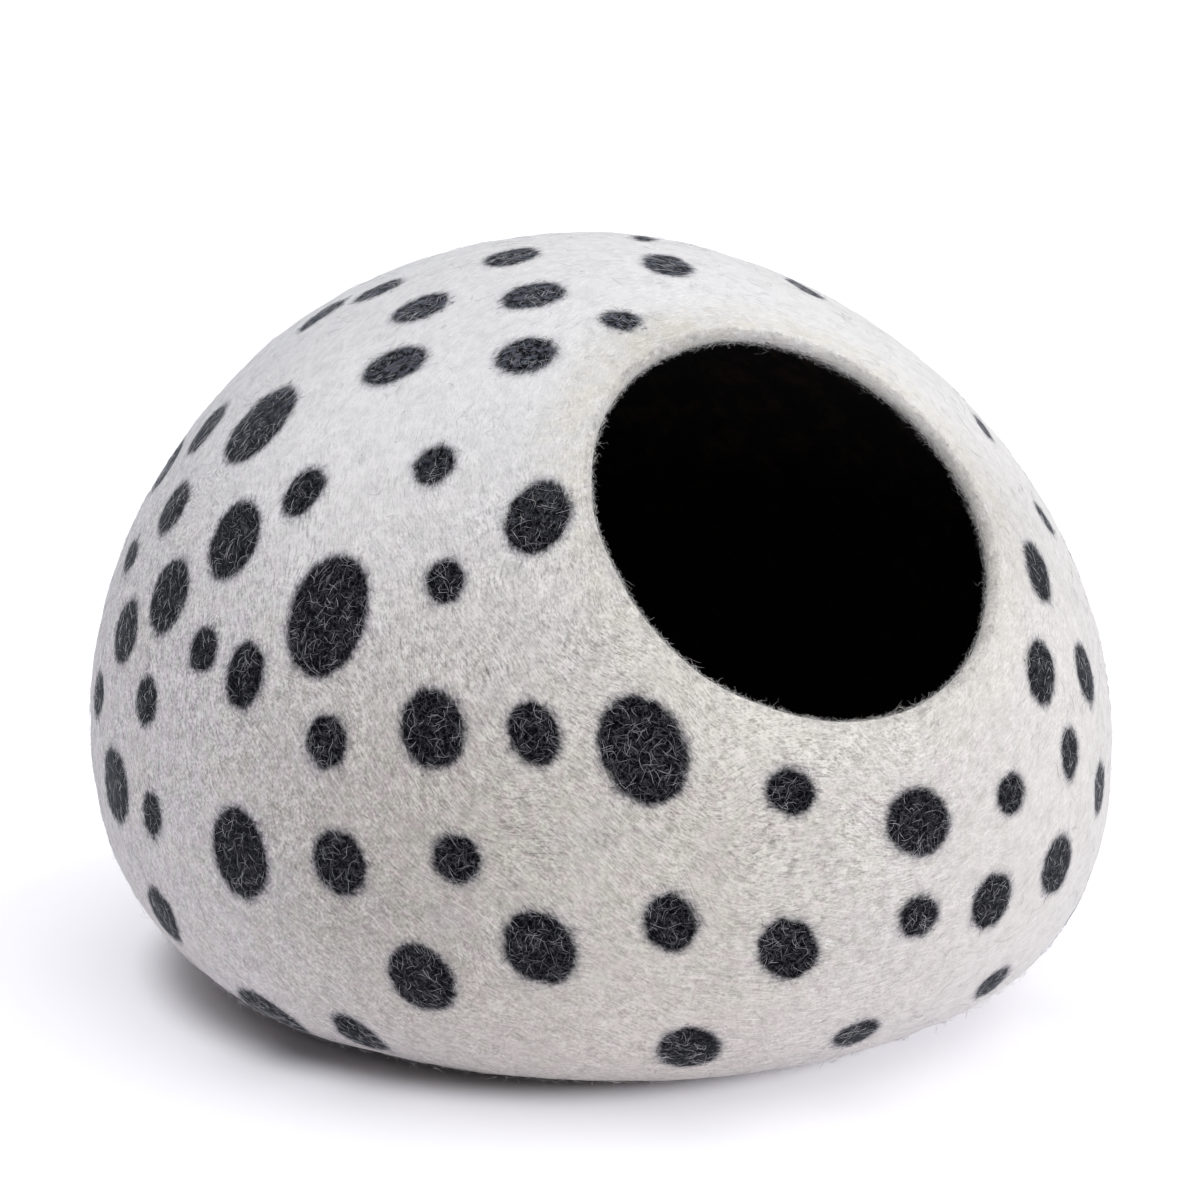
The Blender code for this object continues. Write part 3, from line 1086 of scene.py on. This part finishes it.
def tubes(name, spine, side_ways, kind, picker, material):
    """Closed tapering tubes along spines of count x knots points."""
    count = len(spine)
    along = np.gradient(spine, axis=1)
    along /= np.linalg.norm(along, axis=2, keepdims=True) + 1e-12
    across = np.cross(along, side_ways)
    across /= np.linalg.norm(across, axis=2, keepdims=True) + 1e-12
    over = np.cross(across, along)
    steps = np.linspace(0.0, 1.0, kind.knots)
    taper = kind.thick * (END_TAPER + (1 - END_TAPER) * np.sin(np.pi * steps) ** 0.5)
    widths = picker.uniform(*THIN_TO_THICK, (count, 1)) * taper
    rings = []
    for side in range(FIBRE_SIDES):
        roll = 2 * np.pi * side / FIBRE_SIDES
        way = math.cos(roll) * over + math.sin(roll) * across
        rings.append(spine + widths[..., None] * way)
    points = np.stack(rings, axis=2).reshape(-1, 3)
    each = kind.knots * FIBRE_SIDES
    fibre_faces = ring_quads(kind.knots, FIBRE_SIDES)
    fibre_faces.append(list(range(FIBRE_SIDES)))
    fibre_faces.append(list(range(each - FIBRE_SIDES, each))[::-1])
    faces = [
        [fibre * each + corner for corner in face] for fibre in range(count) for face in fibre_faces
    ]
    made = mesh_object(name, points, faces)
    set_value(made, "tone", np.repeat(picker.random(count), each))
    made.data.materials.append(material)
    print(name + ":", count, "fibres,", sum(len(face) - 2 for face in faces), "triangles")
    return made


# %% [markdown]
# Fibre wool is the same wool as the felt's, seen one fibre at a time, so each fibre has its own
# tone, and a little drift along its length.

# %% Materials for the fibres
DRIFT_SIZE = 3.0        # mm
GLOSS_SIZE = 1.0
GLOSS_RANGE = (0.3, 0.7, 0.6, 0.9)  # a noise's low and high, and the roughness at each


def fibre_wool(name, dark, light):
    """Wool for loose fibres: each one has a tone between dark and light."""
    material = bpy.data.materials.new(name)
    material.use_nodes = True
    tree = material.node_tree
    shader = tree.nodes["Principled BSDF"]
    place = scaled(tree, own_place(tree), 1 / MM)
    drift = centred(tree, soft_noise(tree, place, DRIFT_SIZE, 2.0))
    tone = maths(tree, "ADD", mesh_value(tree, "tone"), drift)
    tree.links.new(blend(tree, tone, dark, light), shader.inputs["Base Color"])
    gloss = between(tree, soft_noise(tree, place, GLOSS_SIZE), *GLOSS_RANGE)
    tree.links.new(gloss, shader.inputs["Roughness"])
    shader.inputs["Specular IOR Level"].default_value = 0.2
    return material


pale_wool = fibre_wool("pale_fibre_wool", (0.42, 0.41, 0.42), (0.85, 0.84, 0.82))
grey_wool = fibre_wool("grey_fibre_wool", (0.16, 0.16, 0.175), (0.95, 0.95, 0.98))
dim_wool = fibre_wool("dim_fibre_wool", (0.03, 0.03, 0.035), (0.28, 0.28, 0.31))
dark_wool = fibre_wool("charcoal_fibre_wool", (0.012, 0.012, 0.015), (0.06, 0.06, 0.068))

# %% Fibres on the spots
# Pale curls lie on top, shorter and dimmer hairs under them, and charcoal ones cross the edges.
SPOT_CURLS = Fibres(length=0.0060, curl=0.5, lift=0.0006, tip=0.0, thick=0.00006, knots=5)
SPOT_HAIRS = Fibres(length=0.005, curl=0.8, lift=0.0003, tip=0.0, thick=0.00006, knots=4)
SPOT_FRINGE = Fibres(length=0.0032, curl=0.9, lift=0.0003, tip=0.0, thick=0.00006, knots=4)
ALL_OVER = FAR_FROM_SPOTS + 1       # mm, farther than any gap


def over_spots(name, kind, material, count, gaps, seed):
    """Fibres that lie every way, where the gap to a spot's edge is in a range."""
    roots = random_places(count, gaps, seed)
    headings = np.random.default_rng(seed + 1).uniform(0, np.pi, count)
    return fibre_mesh(name, roots, headings, kind, seed + 2, material)


spot_curls = over_spots(
    "spot_curls", SPOT_CURLS, grey_wool, count=7500, gaps=(-ALL_OVER, -0.6), seed=21
)
spot_hairs = over_spots(
    "spot_hairs", SPOT_HAIRS, dim_wool, count=5500, gaps=(-ALL_OVER, 0.0), seed=25
)
spot_fringe = over_spots(
    "spot_fringe", SPOT_FRINGE, dark_wool, count=6000, gaps=(-1.6, 1.6), seed=31
)

# %% Fuzz over the off-white
FUZZ = Fibres(length=0.009, curl=1.3, lift=0.0010, tip=0.0010, thick=0.00007, knots=7)
FUZZ_COUNT = 4000
FUZZ_GAP = 0.5          # mm
FUZZ_STRAY = 0.7        # radians
roots = random_places(FUZZ_COUNT, (FUZZ_GAP, ALL_OVER), 41)
headings = round_opening(roots) + np.random.default_rng(42).normal(0.0, FUZZ_STRAY, FUZZ_COUNT)
felt_fuzz = fibre_mesh("felt_fuzz", roots, headings, FUZZ, 43, pale_wool)

# %% Longer fuzz low down, where the felt rubs on the floor
BASE_FUZZ = Fibres(length=0.006, curl=1.6, lift=0.0014, tip=0.0040, thick=0.00008, knots=6)
BASE_FUZZ_TOP = 0.040
BASE_FUZZ_COUNT = 1500
TRIED_PLACES = 14000    # all over the shell: enough of them lie low down
roots = random_places(TRIED_PLACES, (-ALL_OVER, ALL_OVER), 61)
roots = roots[roots[:, 2] < BASE_FUZZ_TOP][:BASE_FUZZ_COUNT]
headings = np.random.default_rng(62).uniform(0, 2 * np.pi, len(roots))
base_fuzz = fibre_mesh("base_fuzz", roots, headings, BASE_FUZZ, 63, pale_wool)

# %% [markdown]
# The rim is where hands and animals rub, and where the felt was cut, so it has the most loose
# fibre: curls that lie along the lip and loops that stand into the opening. They start on the
# rolled lip itself.

# %% Fibres on the lip
LIP_FIBRES = 6000
LIP_STRAY = 0.9         # radians
RIM_CURLS = Fibres(length=0.0042, curl=1.7, lift=0.0010, tip=0.0026, thick=0.00005, knots=6)
lip_net = np.array(lip_rings)
picker = np.random.default_rng(51)
rim_rows = picker.integers(0, LIP_RINGS - 1, LIP_FIBRES)
rim_steps = picker.integers(0, SEGMENTS, LIP_FIBRES)
roots = lip_net[rim_rows, rim_steps]
ahead = lip_net[rim_rows, (rim_steps + 1) % SEGMENTS]
roots = roots + (ahead - roots) * picker.random((LIP_FIBRES, 1))
rim_headings = round_opening(roots) + picker.normal(0.0, LIP_STRAY, LIP_FIBRES)
rim_headings += np.pi * picker.integers(0, 2, LIP_FIBRES)
rim_curls = fibre_mesh("rim_curls", roots, rim_headings, RIM_CURLS, 52, pale_wool)

# %% A few long loops on the lip
RIM_LOOPS = Fibres(length=0.011, curl=2.4, lift=0.0015, tip=0.0060, thick=0.00005, knots=10)
LOOP_COUNT = 240
few = picker.choice(LIP_FIBRES, LOOP_COUNT, replace=False)
rim_loops = fibre_mesh("rim_loops", roots[few], rim_headings[few], RIM_LOOPS, 53, pale_wool)

# %% [markdown]
# ## Floor and light
# The floor is one plain pale plane, big enough to fill the view to its far edge. Lamps hung
# close by would light it unevenly, so the light is two suns with very wide discs, as soft as a
# studio's ceiling and its window and the same everywhere, and a faint even sky. The floor also
# glows softly, a painted fill light that no lamp gives, which also lights the dome's lower walls;
# round the cave's base the glow is taken away as a painted shadow that comes to a dark edge.
# Together they bring the floor to white and leave the dome its slow shading.

# %% Floor
FLOOR_SIDE = 400.0
PAINTED_FLOOR_GLOW = 0.40       # painted fill light: the floor glows, though no lamp is there
DIM_CENTRE = (-0.030, 0.016)    # the painted shadow's patch lies to the left and behind, as the real shadow does
DIM_RANGE = (0.67, 0.81)        # in half widths of the cave: no glow inside, full glow outside
# the glow's colour in the painted shadow and outside it; its faint blue tints the shadows
UNLIT = (0.0, 0.0, 0.0)
LIT = (0.93, 0.935, 1.0)
floor_mesh = bpy.data.meshes.new("floor")
half = FLOOR_SIDE / 2
floor_mesh.from_pydata(
    [(-half, -half, 0.0), (half, -half, 0.0), (half, half, 0.0), (-half, half, 0.0)],
    [], [(0, 1, 2, 3)],
)
floor = bpy.data.objects.new("floor", floor_mesh)
bpy.context.scene.collection.objects.link(floor)
floor_paint = bpy.data.materials.new("pale_floor")
floor_paint.use_nodes = True
floor_tree = floor_paint.node_tree
floor_shader = floor_tree.nodes["Principled BSDF"]
# painted shadow colour: the floor's faint blue shows only in its shadows, since the lit floor is white
floor_shader.inputs["Base Color"].default_value = (0.74, 0.735, 0.76, 1.0)
floor_shader.inputs["Roughness"].default_value = 0.9
floor_shader.inputs["Specular IOR Level"].default_value = 0.1
# painted shadow: the glow fades to nothing round the cave's base
offset = place_maths(floor_tree, "SUBTRACT", own_place(floor_tree), (*DIM_CENTRE, 0.0))
in_girths = place_maths(floor_tree, "DIVIDE", offset, (WIDTH / 2, DEPTH / 2, 1.0))
from_base = place_maths(floor_tree, "LENGTH", in_girths, result="Value")
lit = between(floor_tree, from_base, *DIM_RANGE)
floor_tree.links.new(blend(floor_tree, lit, UNLIT, LIT), floor_shader.inputs["Emission Color"])
floor_shader.inputs["Emission Strength"].default_value = PAINTED_FLOOR_GLOW
floor_mesh.materials.append(floor_paint)

# %% Lights
SKY_STRENGTH = 0.05
LIGHT_SPREAD = math.radians(90.0)
Light = namedtuple("Light", "name strength way colour")
LIGHTS = (
    Light("ceiling", 2.65, (0.0, 0.0, -1.0), (0.985, 0.99, 1.0)),
    Light("window", 1.6, (-0.7, 0.7, -0.45), (1.0, 0.99, 0.97)),
)
for lamp in LIGHTS:
    sun = bpy.data.lights.new(lamp.name, "SUN")
    sun.energy = lamp.strength
    sun.angle = LIGHT_SPREAD
    sun.color = lamp.colour
    hung = bpy.data.objects.new(lamp.name, sun)
    hung.rotation_euler = Vector(lamp.way).to_track_quat("-Z", "Y").to_euler()
    bpy.context.scene.collection.objects.link(hung)

sky = bpy.data.worlds.new("even_sky")
bpy.context.scene.world = sky
sky.use_nodes = True
sky.node_tree.nodes["Background"].inputs["Color"].default_value = (1.0, 1.0, 1.0, 1.0)
sky.node_tree.nodes["Background"].inputs["Strength"].default_value = SKY_STRENGTH
bpy.context.scene.view_settings.view_transform = "Standard"
print("lights:", [lamp.name for lamp in bpy.data.lights])

# %% [markdown]
# ## Tying it to the frame
# Every piece rides on the cave's one body. The fine shell stands for the plain solid, which is
# hidden. It is a sheet of felt that was shaped over a form.

# %% Ride and replace
loose_fibres = [spot_curls, spot_hairs, spot_fringe, felt_fuzz, base_fuzz, rim_curls, rim_loops]
for piece in [shell] + loose_fibres:
    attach(piece, "root")
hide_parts("felt_cave")
